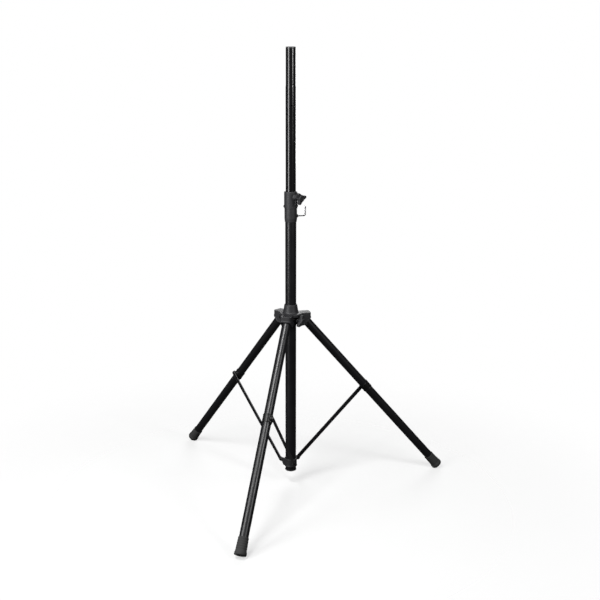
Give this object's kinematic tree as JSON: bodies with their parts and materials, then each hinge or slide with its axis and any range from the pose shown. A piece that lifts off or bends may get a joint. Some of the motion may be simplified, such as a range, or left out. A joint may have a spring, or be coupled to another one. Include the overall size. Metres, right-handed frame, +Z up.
{
  "type": "speaker stand",
  "caption": "Telescoping loudspeaker pole stand on a folding tripod base with flat braces, a sliding hub, hand-screw clamps and a locking pin.",
  "frame": {"origin": "middle of the footprint on the floor, with the pole standing behind it in +Y", "axes": "+Z up along the pole, leg a towards -Y"},
  "size_m": [1.0754, 0.9372, 1.6228],
  "materials": {
    "black_powder_coat": "semi-matt black powder coat on steel tube",
    "mast_gloss_black": "semi-gloss black paint on steel tube",
    "black_nylon_moulding": "matt black glass-filled nylon",
    "bush_nylon": "plain dark nylon",
    "foot_rubber": "matt black rubber",
    "black_zinc": "black zinc plate on steel",
    "pin_chrome": "bright chrome plate on steel wire",
    "brass": "plain brass"
  },
  "bodies": {
    "pole": {"lower_tube": "black_powder_coat", "base_collar": "black_nylon_moulding", "base_end_cap": "black_nylon_moulding", "base_rivet_a": "black_zinc", "base_rivet_b": "black_zinc", "base_rivet_c": "black_zinc", "clamp_collar": "black_nylon_moulding", "collar_bush": "bush_nylon", "clamp_insert": "brass", "collar_screw_1": "black_zinc", "collar_screw_2": "black_zinc"},
    "guide_bush": {"mast_guide_bush": "bush_nylon"},
    "mast": {"mast_tube": "mast_gloss_black", "mast_top_cap": "black_nylon_moulding"},
    "clamp_pressure_pad": {"clamp_pad": "brass"},
    "clamp_knob_and_stud": {"clamp_knob": "black_nylon_moulding", "clamp_stud": "black_zinc"},
    "locking_pin": {"locking_pin": "pin_chrome"},
    "hub": {"hub_body": "black_nylon_moulding", "hub_bush": "bush_nylon", "hub_insert": "brass", "leg_bolt_a": "black_zinc", "leg_bolt_b": "black_zinc", "leg_bolt_c": "black_zinc", "leg_nut_a": "black_zinc", "leg_nut_b": "black_zinc", "leg_nut_c": "black_zinc"},
    "hub_pressure_pad": {"hub_lock_pad": "brass"},
    "hub_knob_and_stud": {"hub_lock_knob": "black_nylon_moulding", "hub_lock_stud": "black_zinc"},
    "brace_a": {"brace_bar_a": "black_powder_coat"},
    "brace_b": {"brace_bar_b": "black_powder_coat"},
    "brace_c": {"brace_bar_c": "black_powder_coat"},
    "leg_a": {"leg_tube_a": "black_powder_coat", "leg_head_a": "black_nylon_moulding", "foot_a": "foot_rubber", "brace_bracket_a": "black_zinc", "bracket_rivet_a": "black_zinc"},
    "leg_b": {"leg_tube_b": "black_powder_coat", "leg_head_b": "black_nylon_moulding", "foot_b": "foot_rubber", "brace_bracket_b": "black_zinc", "bracket_rivet_b": "black_zinc"},
    "leg_c": {"leg_tube_c": "black_powder_coat", "leg_head_c": "black_nylon_moulding", "foot_c": "foot_rubber", "brace_bracket_c": "black_zinc", "bracket_rivet_c": "black_zinc"}
  },
  "joints": [
    {"name": "tripod_fold", "type": "hinge", "parent": "pole", "child": "brace_a", "pos_m": [0, 0.11544, 0.0937], "axis": [-1, 0, 0], "range_deg": [0, 40.7]},
    {"name": "leg_a_fold", "type": "hinge", "parent": "brace_a", "child": "leg_a", "pos_m": [0, -0.1537, 0.37594], "axis": [1, 0, 0], "range_deg": [0, 81.41]},
    {"name": "hub_level", "type": "hinge", "parent": "leg_a", "child": "hub", "pos_m": [0, 0.11544, 0.65818], "axis": [-1, 0, 0], "range_deg": [0, 40.71]},
    {"name": "leg_b_fold", "type": "hinge", "parent": "hub", "child": "leg_b", "pos_m": [0.02858, 0.16494, 0.65818], "axis": [-0.5, 0.866, 0], "range_deg": [0, 40.71]},
    {"name": "brace_b_fold", "type": "hinge", "parent": "leg_b", "child": "brace_b", "pos_m": [0.26167, 0.29952, 0.37594], "axis": [0.5, -0.866, 0], "range_deg": [0, 81.41]},
    {"name": "leg_c_fold", "type": "hinge", "parent": "hub", "child": "leg_c", "pos_m": [-0.02858, 0.16494, 0.65818], "axis": [-0.5, -0.866, 0], "range_deg": [0, 40.71]},
    {"name": "brace_c_fold", "type": "hinge", "parent": "leg_c", "child": "brace_c", "pos_m": [-0.26167, 0.29952, 0.37594], "axis": [0.5, 0.866, 0], "range_deg": [0, 81.41]},
    {"name": "mast_slide", "type": "slide", "parent": "pole", "child": "guide_bush", "axis": [0, 0, 1], "range_m": [-0.36, 0.25]},
    {"name": "mast_turn", "type": "hinge", "parent": "guide_bush", "child": "mast", "pos_m": [0, 0.14844, 0.715], "axis": [0, 0, 1], "continuous": true},
    {"name": "clamp_pad_advance", "type": "slide", "parent": "pole", "child": "clamp_pressure_pad", "axis": [0.866, -0.5, 0], "range_m": [0, 0.0025]},
    {"name": "clamp_knob_turn", "type": "hinge", "parent": "clamp_pressure_pad", "child": "clamp_knob_and_stud", "pos_m": [0, 0.14844, 1.104], "axis": [0.866, -0.5, 0], "range_deg": [0, 721]},
    {"name": "hub_pad_advance", "type": "slide", "parent": "hub", "child": "hub_pressure_pad", "axis": [0.866, -0.5, 0], "range_m": [0, 0.0025]},
    {"name": "hub_knob_turn", "type": "hinge", "parent": "hub_pressure_pad", "child": "hub_knob_and_stud", "pos_m": [0, 0.14844, 0.65288], "axis": [0.866, -0.5, 0], "range_deg": [0, 721]},
    {"name": "locking_pin_pull", "type": "slide", "parent": "pole", "child": "locking_pin", "axis": [0.866, 0.5, 0], "range_m": [0, 0.06]}
  ],
  "couplings": [
    {"joint": "leg_a_fold", "follows": "tripod_fold", "ratio": 2},
    {"joint": "hub_level", "follows": "tripod_fold", "ratio": 1},
    {"joint": "leg_b_fold", "follows": "tripod_fold", "ratio": 1},
    {"joint": "leg_c_fold", "follows": "tripod_fold", "ratio": 1},
    {"joint": "brace_b_fold", "follows": "tripod_fold", "ratio": 2},
    {"joint": "brace_c_fold", "follows": "tripod_fold", "ratio": 2},
    {"joint": "clamp_knob_turn", "follows": "clamp_pad_advance", "rad_per_m": 5026.5},
    {"joint": "hub_knob_turn", "follows": "hub_pad_advance", "rad_per_m": 5026.5}
  ]
}
